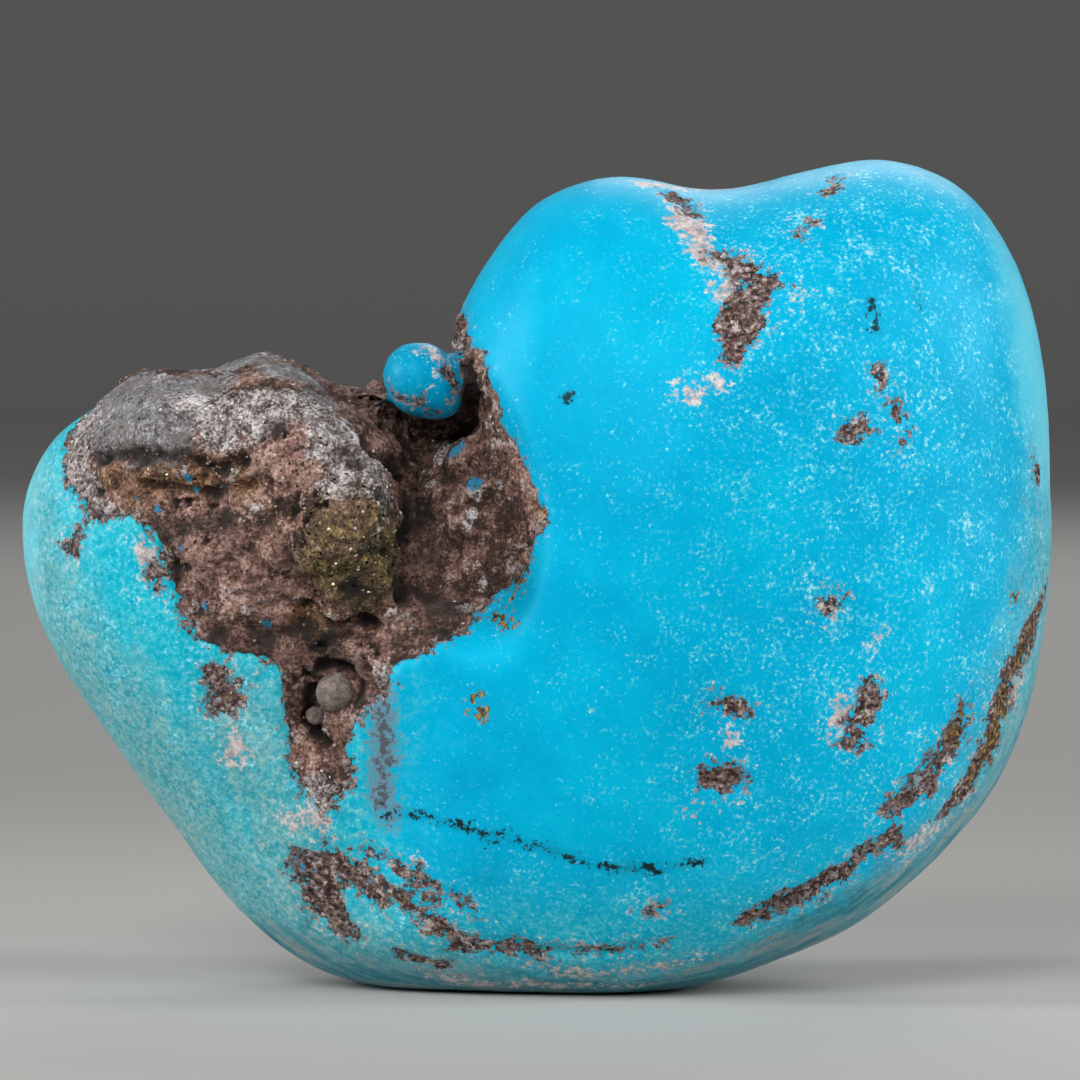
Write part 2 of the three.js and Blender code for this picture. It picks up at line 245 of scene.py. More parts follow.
# How the host rock is coloured: soft round spots of (across, up), reach in mm and strength.
FRONT_ZONES = {
    "crust": [
        ((9.5, 70.5), 1.7, 1.0), ((13.5, 70.5), 1.7, 1.0), ((17.5, 73), 1.3, 0.9), ((22.5, 76), 1.2, 0.9),
        ((27, 75), 1.2, 0.9), ((9.5, 66.8), 0.9, 0.8), ((15, 67.5), 1.0, 0.8), ((30, 72), 0.9, 0.7),
    ],
    "pale": [
        ((17, 71), 0.9, 0.6), ((20.5, 69), 1.2, 0.75), ((24, 70), 1.2, 0.8), ((28.5, 71), 1.1, 0.8),
        ((31.5, 67.5), 1.2, 0.9), ((33.5, 63.5), 1.2, 0.9), ((35, 60), 0.8, 0.7), ((31.5, 61.5), 0.9, 0.6),
        ((5.8, 64), 0.9, 1.0), ((6.8, 60.5), 0.8, 1.0), ((9, 58.5), 0.5, 0.7), ((7, 68.5), 0.7, 0.8),
        ((41.3, 65.3), 0.6, 1.0), ((44.4, 60.6), 0.3, 0.9), ((44, 58), 0.2, 0.9), ((43.4, 56.6), 0.2, 0.8),
        ((36, 39.3), 0.6, 0.7), ((43.3, 47), 0.35, 0.7), ((44.2, 80), 0.5, 0.8), ((33.5, 75.5), 0.9, 0.9),
        ((29.5, 24.3), 0.7, 0.9), ((46.2, 73.5), 0.3, 0.7), ((45.6, 68.5), 0.3, 0.7),
    ],
    "rust": [
        ((10, 62.6), 1.1, 0.8), ((14, 62.4), 1.1, 0.9), ((19, 62), 1.2, 0.8), ((23, 61), 1.2, 0.6),
        ((27, 66.4), 0.9, 1.0), ((27.5, 63.2), 0.9, 0.9), ((19, 52.5), 1.2, 0.7), ((22.5, 50), 1.3, 0.8),
        ((26, 48.5), 1.2, 0.8), ((44.8, 77), 0.6, 1.0), ((46, 72), 0.6, 0.9), ((48.5, 64), 0.7, 0.9),
        ((50, 57), 0.7, 0.9), ((49, 52), 0.6, 0.8), ((28, 30), 0.9, 0.6), ((27, 57.5), 0.5, 0.8),
    ],
    "pyrite": [
        ((31, 56.5), 1.2, 0.7), ((34, 57.5), 1.1, 0.7), ((31.5, 52), 1.3, 1.0), ((34.5, 52.5), 1.3, 1.0),
        ((36, 55), 1.0, 0.8), ((33.5, 49), 1.0, 0.8), ((13, 63.8), 0.6, 0.5), ((38, 66), 0.7, 0.4),
    ],
    # painted shade: dark spots in the groove, round the bead, in the vug and in other recesses of the hollow
    "dark": [
        ((37.8, 57), 0.9, 0.7), ((37.2, 50), 0.9, 0.7), ((40.5, 68.6), 0.8, 1.0), ((43.9, 73.4), 0.6, 1.0),
        ((36.8, 62), 0.7, 0.5), ((28.5, 34.2), 0.3, 0.8), ((38.5, 70.4), 0.6, 0.8), ((21, 57.6), 0.25, 1.0),
        ((41, 47), 0.9, 0.75), ((40, 53), 0.8, 0.6), ((25, 44.5), 0.9, 0.5), ((27, 53), 0.7, 0.5),
        ((20.5, 56.5), 0.9, 0.6), ((15.5, 57), 0.6, 0.5), ((30.5, 43.5), 0.7, 0.6), ((33, 40.3), 0.5, 0.7),
    ],
    "blue": [  # crumbs of turquoise caught in the rock
        ((17.1, 62.6), 0.16, 1.0), ((17.7, 60.8), 0.14, 1.0), ((14.2, 58.7), 0.17, 0.9),
        ((16.6, 54.2), 0.14, 0.9), ((18.7, 47.2), 0.16, 0.9), ((24.5, 45.3), 0.22, 1.0),
        ((42.8, 65.2), 0.34, 1.0), ((44.4, 61.4), 0.3, 0.9), ((34.8, 75.3), 0.35, 0.7),
        ((15.2, 61.6), 0.1, 0.9), ((20.3, 61.2), 0.12, 0.9), ((12.2, 60), 0.1, 0.8),
    ],
    "ochre": [
        ((10, 63.2), 0.9, 1.0), ((14, 63), 0.9, 1.0), ((18.5, 62.6), 0.9, 0.9), ((22.5, 62), 0.8, 0.7),
        ((12, 59.8), 0.8, 0.6), ((28.5, 46.5), 1.0, 0.7), ((50.3, 58), 0.5, 0.9), ((46.4, 71), 0.5, 0.8),
    ],
}  # fmt: skip
BACK_ZONES = {
    "crust": [((12, 73), 1.5, 0.9), ((21, 75), 1.6, 0.9), ((27, 74), 1.0, 0.7)],
    "pale": [((16, 70), 1.0, 0.9), ((25, 70), 1.0, 0.9), ((9.5, 72), 0.8, 0.9), ((40, 76), 0.8, 0.9)],
    "rust": [((20, 65), 1.3, 0.9), ((29, 70), 1.0, 0.8), ((12, 67.5), 0.9, 0.8), ((43, 79), 0.7, 0.9)],
    "pyrite": [((18, 64), 0.7, 0.5)],
    # painted shade: dark spots in recesses of the rock at the back
    "dark": [((23.5, 67), 0.4, 0.9), ((36, 74.5), 0.5, 0.8), ((14.5, 71), 0.3, 0.9)],
    "blue": [((22, 66), 0.2, 1.0), ((31, 73.5), 0.24, 0.9), ((11, 69.5), 0.16, 0.9)],
    "ochre": [((20, 63.5), 0.8, 0.9), ((41, 74.5), 0.6, 0.8)],
}

# The turquoise bead at the top of the hollow, in mm: its middle, how far round it the turquoise is left bare,
# and where the rock takes over again on its right.
BEAD_MIDDLE = np.array((-3.2, -3.5, 17.6))
BEAD_REACH = 1.4
BEAD_RIGHT = 1.1

# The shell of host rock, in mm: its depth, its depth beside the bead, and how far it runs past its edge.
ROCK_DEPTH = 2.0
ROCK_DEPTH_BY_BEAD = 0.8
ROCK_MARGIN = 0.5
ROOM = 0.45  # how much of the way to the far side a sunk surface may take

# Where a ramp's five tones lie, from the darkest to the palest.
TONES = (0.27, 0.4, 0.5, 0.6, 0.73)
TURQUOISE_TONES = {
    "sandy": ("#13808F", "#3496A3", "#67A8AD", "#98BAB6", "#CEDAD5"),
    "teal": ("#0092B2", "#0AA8C2", "#24B5C9", "#5CC6D2", "#B4DFDE"),
    "stained": ("#1D130F", "#402A23", "#5F4842", "#87716C", "#BBAEAC"),
    "clay": ("#5E4A44", "#8F7F7C", "#B9ADAB", "#D6CDCB", "#ECE8E7"),
    "layered": ("#165C6D", "#287F90", "#5797A3", "#95A3A4", "#CFBFB4"),
    "gilded": ("#0F0B07", "#2E2114", "#54401F", "#8A6A30", "#C9A964"),
}
ROCK_TONES = {
    "brown": ("#120A06", "#281710", "#452B1F", "#694C3D", "#A28679"),
    "rust": ("#3A2018", "#6A493F", "#8F6A5F", "#AC897D", "#D2B7AA"),
    "ochre": ("#26150B", "#4E321E", "#745036", "#947254", "#C6AA88"),
    "crust": ("#2A2625", "#504D4C", "#6F6C6E", "#8D8B90", "#C0BFC5"),
    "pale": ("#281C17", "#50403A", "#867B78", "#B8B0AF", "#E6E2E2"),
    "pyrite": ("#151008", "#382A16", "#574528", "#786238", "#B59F62"),
}

# Lights: name, place and size in metres, power in watts, spread in degrees. The two narrow strips light the
# nugget's ends and leave the floor alone.
LIGHTS = (
    ("key_softbox", (-0.12, -0.28, 0.2), (0.18, 0.18), 0.84, 180),
    ("fill_softbox", (0.22, -0.20, 0.16), (0.18, 0.18), 0.38, 180),
    ("left_strip", (-0.22, -0.02, 0.09), (0.05, 0.12), 0.016, 30),
    ("right_strip", (0.22, -0.02, 0.09), (0.05, 0.12), 0.013, 30),
    ("back_softbox", (0.06, 0.26, 0.2), (0.18, 0.18), 0.24, 180),
)
AMBIENT = 0.3  # strength of the light from all round
CAMERA_AIM = Vector((0.0001, 0, 0.01296))  # in metres
CAMERA_DISTANCE = 0.2087  # in metres
CAMERA_TILT = math.radians(2.5)
LENS = 240  # in mm


def linear(code):
    """An sRGB hex colour as linear red, green, blue and alpha."""
    shares = [int(code[i : i + 2], 16) / 255 for i in (1, 3, 5)]
    return (*[c / 12.92 if c <= 0.04045 else ((c + 0.055) / 1.055) ** 2.4 for c in shares], 1.0)


def colour_property(name, description, code):
    return FloatVectorProperty(
        name=name, description=description, default=linear(code), subtype="COLOR", size=4, min=0, max=1
    )


def length_property(name, description, metres):
    return FloatProperty(name=name, description=description, default=metres, unit="LENGTH")


class NuggetSizes(bpy.types.PropertyGroup):
    skin_face: length_property("Skin face", "Side of the small faces of the skin", 0.21 * MM)
    unevenness: length_property("Unevenness", "Height of the skin's broad swells", 0.07 * MM)
    rock_roughness: length_property("Rock relief", "Height of the host rock's lumps", 0.2 * MM)
    grain: length_property("Sand grain", "Mean width of the loose grains", 0.09 * MM)
    pyrite_cube: length_property("Pyrite cube", "Mean side of the pyrite cubes", 0.07 * MM)
    floor_radius: length_property("Floor", "Radius of the flat part of the floor", 0.6)


class NuggetColours(bpy.types.PropertyGroup):
    blue_deep: colour_property("Deep blue", "Turquoise at its deepest", "#00A0CA")
    blue: colour_property("Blue", "Turquoise over most of the skin", "#00ABD4")
    blue_pale: colour_property("Pale blue", "Turquoise at its palest", "#02B6DA")
    # painted shade: the colour laid in the host rock's cracks, pores and recesses
    dark: colour_property("Dark", "Cracks and pores", "#231B17")
    gold: colour_property("Gold", "Pyrite", "#A68F5E")
    floor: colour_property("Floor", "Studio floor", "#B4B2AE")


def smooth(low, high, value):
    """From 0 at low to 1 at high, easing in and out."""
    share = np.clip((value - low) / (high - low), 0, 1)
    return share * share * (3 - 2 * share)


def lumps(points, size, octaves=3):
    """Fractal noise at each point, roughly from -1 to 1, with lumps of a size in mm."""
    return np.array([noise.fractal(p, 1.0, 2.0, octaves) for p in (points / size).tolist()])


def ridges(points, size):
    """Crumbly relief at each point, from about 0 to 2, with sharp crests."""
    return np.array([noise.ridged_multi_fractal(p, 1.0, 2.0, 4, 1.0, 2.0) for p in (points / size).tolist()])


def cells(points, size):
    """For cells of a size in mm, the distance to the nearest cell's middle and to the next nearest."""
    return np.array([noise.voronoi(p)[0][:2] for p in (points / size).tolist()])


def sides_of(faces):
    """The sides of four-sided faces, as pairs of point numbers in the order that they run."""
    return np.vstack([np.column_stack((faces[:, i], np.roll(faces, -1, axis=1)[:, i])) for i in range(4)])


def edges_of(faces):
    """Each edge once, as pairs of point numbers."""
    return np.unique(np.sort(sides_of(faces), axis=1), axis=0)


def smoothed(points, edges, rounds):
    """The points with small bumps evened out, without shrinking the shape."""
    count = np.maximum(np.bincount(edges.ravel(), minlength=len(points)), 1)[:, None]
    for _ in range(rounds):
        for step in (0.5, -0.53):
            near = np.zeros_like(points)
            for axis in range(3):
                for here, there in ((0, 1), (1, 0)):
                    near[:, axis] += np.bincount(
                        edges[:, here], weights=points[edges[:, there], axis], minlength=len(points)
                    )
            points = points + step * (near / count - points)
    return points


@functools.cache
def nugget_skin():
    """The CAD solid's surface without its facets: points in mm and small four-sided faces."""
    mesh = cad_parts["nugget"].data.copy()
    shape = bmesh.new()
    shape.from_mesh(mesh)
    bmesh.ops.remove_doubles(shape, verts=shape.verts, dist=1e-4 * MM)
    shape.to_mesh(mesh)
    shape.free()
    rounded = bpy.data.objects.new("skin_copy", mesh)
    bpy.context.scene.collection.objects.link(rounded)
    subdivision = rounded.modifiers.new("Rounded", "SUBSURF")
    subdivision.levels = subdivision.render_levels = 1
    even = rounded.modifiers.new("Even faces", "REMESH")
    even.mode = "VOXEL"
    even.voxel_size = bpy.context.scene.nugget_sizes.skin_face
    remeshed = bpy.data.meshes.new_from_object(
        rounded.evaluated_get(bpy.context.evaluated_depsgraph_get())
    )
    bpy.data.objects.remove(rounded)
    bpy.data.meshes.remove(mesh)
    points = np.empty(len(remeshed.vertices) * 3)
    remeshed.vertices.foreach_get("co", points)
    faces = np.array([tuple(f.vertices) for f in remeshed.polygons if len(f.vertices) == 4])
    bpy.data.meshes.remove(remeshed)
    return smoothed(points.reshape(-1, 3) / MM, edges_of(faces), 12), faces


@functools.cache
def skin_tree():
    points, faces = nugget_skin()
    return BVHTree.FromPolygons(points.tolist(), faces.tolist())


def seen_at(across, up):
    """A place as x and z in mm."""
    return LOW[[0, 2]] + (HIGH - LOW)[[0, 2]] * (across / 100, up / 100)


def on_skin(across, up, side):
    """The skin's point at a place, on the front or the back."""
    x, z = seen_at(across, up)
    far = 2 * HIGH[1]
    hit = skin_tree().ray_cast(Vector((x, side * far, z)), Vector((0, -side, 0)))[0]
    if hit is None:
        hit = skin_tree().find_nearest(Vector((x, 0, z)))[0]
    return np.array(hit)


def off_line(points, start, end):
    """For each point, how far along a line its nearest place lies, from 0 to 1, and the gap to it."""
    along = end - start
    share = np.clip((points - start) @ along / max(along @ along, 1e-9), 0, 1)
    return share, np.linalg.norm(points - start - share[:, None] * along, axis=1)


def inside_chain(points, chain):
    """How deep each point lies in a chain of balls joined by cones, in mm; negative is outside."""
    depth = np.full(len(points), -np.inf)
    for (start, start_radius), (end, end_radius) in zip(chain, chain[1:]):
        share, gap = off_line(points, start, end)
        depth = np.maximum(depth, start_radius + share * (end_radius - start_radius) - gap)
    return depth


def inside_marks(points, kind):
    """How deep each point lies in the marks of a kind, in mm."""
    depth = np.full(len(points), -9.0)
    for side, marks in ((FRONT, FRONT_MARKS), (BACK, BACK_MARKS)):
        for mark in marks[kind]:
            chain = [(on_skin(across, up, side), radius) for across, up, radius in mark]
            depth = np.maximum(depth, inside_chain(points, chain))
    return depth


def inside_bands(points, bands):
    """How deep each point lies in some bands seen from the front, in mm."""
    seen = points[:, [0, 2]]
    chains = [[(seen_at(across, up), radius) for across, up, radius in band] for band in bands]
    return np.max([inside_chain(seen, chain) for chain in chains], axis=0)


def inside_edge(points, places):
    """How deep each point lies inside a closed edge seen from the front, in mm."""
    seen = points[:, [0, 2]]
    corners = LOW[[0, 2]] + (HIGH - LOW)[[0, 2]] * np.array(places) / 100
    nearest = np.full(len(points), np.inf)
    inside = np.zeros(len(points), bool)
    for start, end in zip(corners, np.roll(corners, -1, axis=0)):
        nearest = np.minimum(nearest, off_line(seen, start, end)[1])
        crosses = (start[1] > seen[:, 1]) != (end[1] > seen[:, 1])
        run, rise = end - start
        slope = run / rise if rise else 0
        inside ^= crosses & (seen[:, 0] < start[0] + (seen[:, 1] - start[1]) * slope)
    return np.where(inside, nearest, -nearest)


def bead_gap(points):
    """How far each point is off the bead, stretched so that the whole bead counts as well inside, in mm."""
    out = points - BEAD_MIDDLE
    return np.maximum(6 * (np.linalg.norm(out, axis=1) - BEAD_REACH), out[:, 0] - BEAD_RIGHT)


def inside_rock(points):
    """How deep each point lies within the edge of the host rock, in mm, with the edge made ragged."""
    side = smooth(-1.0, 1.0, points[:, 1])
    depth = (1 - side) * inside_edge(points, ROCK_EDGE_FRONT) + side * inside_edge(points, ROCK_EDGE_BACK)
    ragged = 0.2 * lumps(points, 0.9) + 0.1 * lumps(points, 0.3)
    return np.minimum(depth + ragged, bead_gap(points))


def room_behind(points, normals):
    """How far in from each point a surface may lie without nearing the one from the far side, in mm."""
    room = []
    for point, normal in zip(points, normals):
        through = skin_tree().ray_cast(Vector(point - 0.05 * normal), Vector(-normal))[3]
        room.append(ROOM * (through or 0))
    return np.array(room)


def sunk_under(rock, room):
    """How far the turquoise lies under the host rock, in mm."""
    return np.minimum(0.5 * smooth(-0.1, 0.5, rock) + 1.8 * smooth(0.4, 1.4, rock), room)


def spots(points, kind):
    """The strongest of a kind's soft round spots at each point."""
    strength = np.zeros(len(points))
    for side, zones in ((FRONT, FRONT_ZONES), (BACK, BACK_ZONES)):
        for place, reach, most in zones[kind]:
            gap = np.linalg.norm(points - on_skin(*place, side), axis=1)
            strength = np.maximum(strength, most * np.exp(-((gap / reach) ** 2)))
    return strength


def normals_of(points, faces):
    """Outward unit normals at the points of four-sided faces."""
    flat = np.cross(points[faces[:, 2]] - points[faces[:, 0]], points[faces[:, 3]] - points[faces[:, 1]])
    outward = np.zeros_like(points)
    for corner in faces.T:
        for axis in range(3):
            outward[:, axis] += np.bincount(corner, weights=flat[:, axis], minlength=len(points))
    return outward / np.maximum(np.linalg.norm(outward, axis=1, keepdims=True), 1e-12)


def piece_from(name, points, faces, fields, material):
    """A smooth-shaded object of points in mm, with its fields as attributes, riding on the nugget."""
    mesh = bpy.data.meshes.new(name)
    mesh.from_pydata((points * MM).tolist(), [], [list(f) for f in faces])
    mesh.shade_smooth()
    for field, values in fields.items():
        mesh.attributes.new(field, "FLOAT", "POINT").data.foreach_set("value", values.astype(np.float32))
    return finish_piece(name, mesh, material)


def finish_piece(name, mesh, material):
    mesh.materials.clear()
    mesh.materials.append(material)
    piece = bpy.data.objects.new(name, mesh)
    bpy.context.scene.collection.objects.link(piece)
    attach(piece, "root")
    return piece


def add(tree, kind, inputs=None, stops=None, **settings):
    """Adds one node: its settings, its inputs as values or as nodes and sockets to link from, and a ramp's
    colours at their places."""
    made = tree.nodes.new(kind)
    for name, value in settings.items():
        setattr(made, name, value)
    for name, value in (inputs or {}).items():
        if isinstance(value, bpy.types.Node):
            value = next(socket for socket in value.outputs if socket.enabled)
        if isinstance(value, bpy.types.NodeSocket):
            tree.links.new(value, made.inputs[name])
        else:
            made.inputs[name].default_value = value
    if stops:
        ends = made.color_ramp.elements
        (ends[0].position, ends[0].color), (ends[1].position, ends[1].color) = stops[0], stops[-1]
        for place, colour in stops[1:-1]:
            ends.new(place).color = colour
    return made


def new_material(name):
    material = bpy.data.materials.new(name)
    material.use_nodes = True
    material.node_tree.nodes.clear()
    return material, material.node_tree


def sources(tree, where, fields, noises):
    """What a material is mixed from, by name: the piece's own attributes, and noises, each from (size in mm,
    detail, roughness)."""
    known = {name: add(tree, "ShaderNodeAttribute", attribute_name=name).outputs["Fac"] for name in fields}
    for name, (size, detail, rough) in noises.items():
        inputs = {"Vector": where, "Scale": 1 / (size * MM), "Detail": detail, "Roughness": rough}
        known[name] = add(tree, "ShaderNodeTexNoise", inputs)
    return known


def shares(known, **amounts):
    """Sources by name, each with the number that it is multiplied by."""
    return [(known[name], amount) for name, amount in amounts.items()]


def total(tree, parts):
    """The sum of sockets, each times a number."""
    value = 0.0
    for socket, share in parts:
        value = add(tree, "ShaderNodeMath", {0: socket, 1: share, 2: value}, operation="MULTIPLY_ADD")
    return value


def mask(tree, parts, low, high, within=()):
    """0 where the sum of some sockets, each times a number, is below low and 1 where it is above high; then
    kept within other masks."""
    value = add(
        tree,
        "ShaderNodeMapRange",
        {"Value": total(tree, parts), "From Min": low, "From Max": high},
        interpolation_type="SMOOTHSTEP",
    )
    for other in within:
        value = add(tree, "ShaderNodeMath", {0: value, 1: other}, operation="MULTIPLY")
    return value


def paint(tree, base, coats):
    """Lays coats over a base colour, each a mask and a colour."""
    for cover, colour in coats:
        base = add(
            tree, "ShaderNodeMix", {0: cover, 6: base, 7: colour}, data_type="RGBA", clamp_factor=True
        )
    return base


def grains(tree, where, kinds):
    """Cell patterns by name, each from a size in mm: the distance to the middle and two random numbers."""
    found = {}
    for name, size in kinds.items():
        cell = add(tree, "ShaderNodeTexVoronoi", {"Vector": where, "Scale": 1 / (size * MM)})
        chance = add(tree, "ShaderNodeSeparateColor", {"Color": cell.outputs["Color"]})
        found[name] = (cell.outputs["Distance"], chance.outputs["Red"], chance.outputs["Green"])
    return found


def flecks(tree, grain, which, share, radius, within=()):
    """A mask of small flecks in a share of the cells, each up to a radius in cell widths."""
    inputs = {"Value": grain[which], "From Min": share, "From Max": 0.0, "To Max": radius}
    size = add(tree, "ShaderNodeMapRange", inputs)
    return mask(tree, [(size, 1.0), (grain[0], -1.0)], 0.0, 0.07, within)


def tones(tree, parts, codes):
    """A ramp's five tones by the sum of some sockets, each times a number, its middle brought to a half."""
    centre = (1 - sum(share for _, share in parts)) / 2
    return add(
        tree,
        "ShaderNodeValToRGB",
        {"Fac": total(tree, [*parts, (1.0, centre)])},
        stops=list(zip(TONES, map(linear, codes))),
    )


def surface(tree, height, strength, depth, look):
    """Ends a material: fine relief up to a depth in mm, and how the surface takes the light."""
    bump = add(tree, "ShaderNodeBump", {"Height": height, "Strength": strength, "Distance": depth * MM})
    shader = add(tree, "ShaderNodeBsdfPrincipled", {**look, "Normal": bump})
    add(tree, "ShaderNodeOutputMaterial", {"Surface": shader})


def turquoise_material():
    """Turquoise, tumbled: an opaque waxy stone, sky blue with chalky white flecks, greener and sandier on
    the small lobe, its soft polish lost where host rock and clay show."""
    colours = bpy.context.scene.nugget_colours
    material, tree = new_material("turquoise_tumbled")
    where = add(tree, "ShaderNodeTexCoord").outputs["Object"]
    known = sources(
        tree,
        where,
        (*FRONT_MARKS, "green", "sandy", "speckled", "layer", "rubbed", "rock", "bead"),
        {
            "cloud": (6.0, 3, 0.55),
            "patch": (1.6, 5, 0.65),
            "cluster": (0.9, 6, 0.75),
            "ragged": (0.7, 6, 0.7),
            "mottle": (0.4, 4, 0.65),
            "crumb": (0.2, 5, 0.75),
            "speck": (0.115, 3, 0.65),
            "fine": (0.08, 2, 0.6),
        },
    )
    g = grains(tree, where, {"coarse": 0.7, "sand": 0.1})
    flat_layers = add(
        tree,
        "ShaderNodeMapping",
        {"Vector": where, "Rotation": (0.1, 0.0, 0.12), "Scale": (0.22, 1.0, 0.22)},
    )
    known |= sources(tree, flat_layers, (), {"streak": (0.55, 5, 0.7)})
    known["sand_tone"] = g["sand"][1]
    of = functools.partial(shares, known)
    shade = {
        name: tones(tree, parts, TURQUOISE_TONES[name])
        for name, parts in (
            ("sandy", of(crumb=0.5, speck=0.4, mottle=0.1, patch=0.25)),
            ("teal", of(crumb=0.5, speck=0.4, mottle=0.1, patch=0.3)),
            ("stained", of(sand_tone=0.25, crumb=0.75)),
            ("clay", of(crumb=0.6, mottle=0.4)),
            ("layered", of(streak=0.95, crumb=0.35)),
            ("gilded", of(sand_tone=0.25, crumb=0.75)),
        )
    }
    blue = add(
        tree,
        "ShaderNodeValToRGB",
        {"Fac": total(tree, of(cloud=0.6, patch=0.4))},
        stops=[(0.36, colours.blue_deep), (0.5, colours.blue), (0.64, colours.blue_pale)],
    )
    near_layer = mask(tree, of(layer=1.0, ragged=2.5), 0.7, 2.0)
    near_sandy = mask(tree, of(sandy=1.0, ragged=3.4), 0.0, 2.5)
    brown = mask(tree, of(brown=1.0, ragged=2.4, crumb=1.6), 1.93, 2.02)
    rim = mask(tree, of(rock=1.0, ragged=1.6, crumb=1.4), 1.4, 1.5)
    gold = mask(tree, of(gold=1.0, mottle=0.8, crumb=1.8), 1.24, 1.36)
    specks = of(speck=1.0, cluster=0.6, speckled=0.1)
    clumps = of(mottle=1.0, cluster=1.0, speckled=0.1)
    base = paint(
        tree,
        blue,
        [
            (mask(tree, of(green=1.0, mottle=0.6), 0.3, 1.1), shade["teal"]),
            (near_sandy, shade["sandy"]),
            # rubbed chalky polish along both ends, and a painted highlight: their pale sheen
            (mask(tree, of(rubbed=1.0, cluster=1.4), 0.4, 1.7, (0.62,)), linear("#84E2F2")),
            # painted shade: the whole bead is darkened, holding back the light the key lamp throws on its top
            (mask(tree, of(bead=1.0), 0.0, 1.0, (0.6,)), linear("#0083AE")),
            # chalky flecks, from the faintest, then fine dark ones
            (mask(tree, specks, 0.9, 1.02, (0.6,)), linear("#4CC8E0")),
            (mask(tree, specks, 1.01, 1.12, (0.9,)), linear("#A6E2EE")),
            (mask(tree, clumps, 1.3, 1.42, (0.8,)), linear("#B4E2EA")),
            (mask(tree, of(fine=0.6, mottle=1.0), 1.02, 1.08, (0.45,)), linear("#0A7FA0")),
            (flecks(tree, g["coarse"], 2, 0.03, 0.12), linear("#2F4A4C")),
            # layers in the rim
            (near_layer, shade["layered"]),
            (mask(tree, of(streak=1.0, crumb=0.8), 1.02, 1.1, (near_layer,)), shade["stained"]),
            # pale crumbs round the brown marks and the host rock
            (mask(tree, of(brown=1.0, ragged=2.4, crumb=4.0), 3.2, 3.4), shade["clay"]),
            (mask(tree, of(rock=1.0, ragged=2.0, crumb=4.0), 3.1, 3.3), shade["clay"]),
            # the grey, white and dark marks, then the rim and the brown marks
            (mask(tree, of(grey=1.0, mottle=0.8, crumb=1.4), 0.8, 1.25, (0.85,)), linear("#6E8794")),
            (mask(tree, of(grey=1.0, ragged=0.8, crumb=2.4), 1.75, 1.95, (0.85,)), linear("#544A50")),
            (mask(tree, of(white=1.0, ragged=1.6, crumb=2.6), 2.0, 2.2), shade["clay"]),
            (mask(tree, of(dark=1.0, mottle=0.6), 0.1, 0.5, (0.5,)), linear("#0A809C")),
            (mask(tree, of(dark=1.0, ragged=1.2, crumb=1.2), 1.22, 1.32), linear("#1C2A2E")),
            (rim, shade["stained"]),
            (brown, shade["stained"]),
            # clay, turquoise and brassy crumbs in the brown marks
            (mask(tree, of(cluster=1.0, crumb=0.8), 0.98, 1.06, (brown, 0.75)), shade["clay"]),
            (mask(tree, of(patch=0.7, crumb=1.0), 1.0, 1.06, (brown, 0.8)), linear("#2A8FAE")),
            (flecks(tree, g["sand"], 2, 0.07, 0.6, (brown,)), linear("#94702F")),
            (gold, shade["gilded"]),
        ],
    )
    rough_parts = add(tree, "ShaderNodeMath", {0: brown, 1: rim}, operation="MAXIMUM")
    crumbled = add(tree, "ShaderNodeMath", {0: rough_parts, 1: known["crumb"]}, operation="MULTIPLY")
    height = total(tree, [*of(mottle=0.15, fine=0.12), (crumbled, 2.5), (near_layer, -0.1)])
    dull = total(tree, [(rough_parts, 1.0), *of(mottle=0.3), (near_sandy, 0.2)])
    roughness = add(tree, "ShaderNodeMapRange", {"Value": dull, "To Min": 0.34, "To Max": 0.8})
    look = {
        "Base Color": base,
        "Roughness": roughness,
        "IOR": 1.61,
        "Specular IOR Level": 0.2,
        "Specular Tint": linear("#50CCEE"),
    }
    surface(tree, height, 0.5, 0.05, look)
    return material


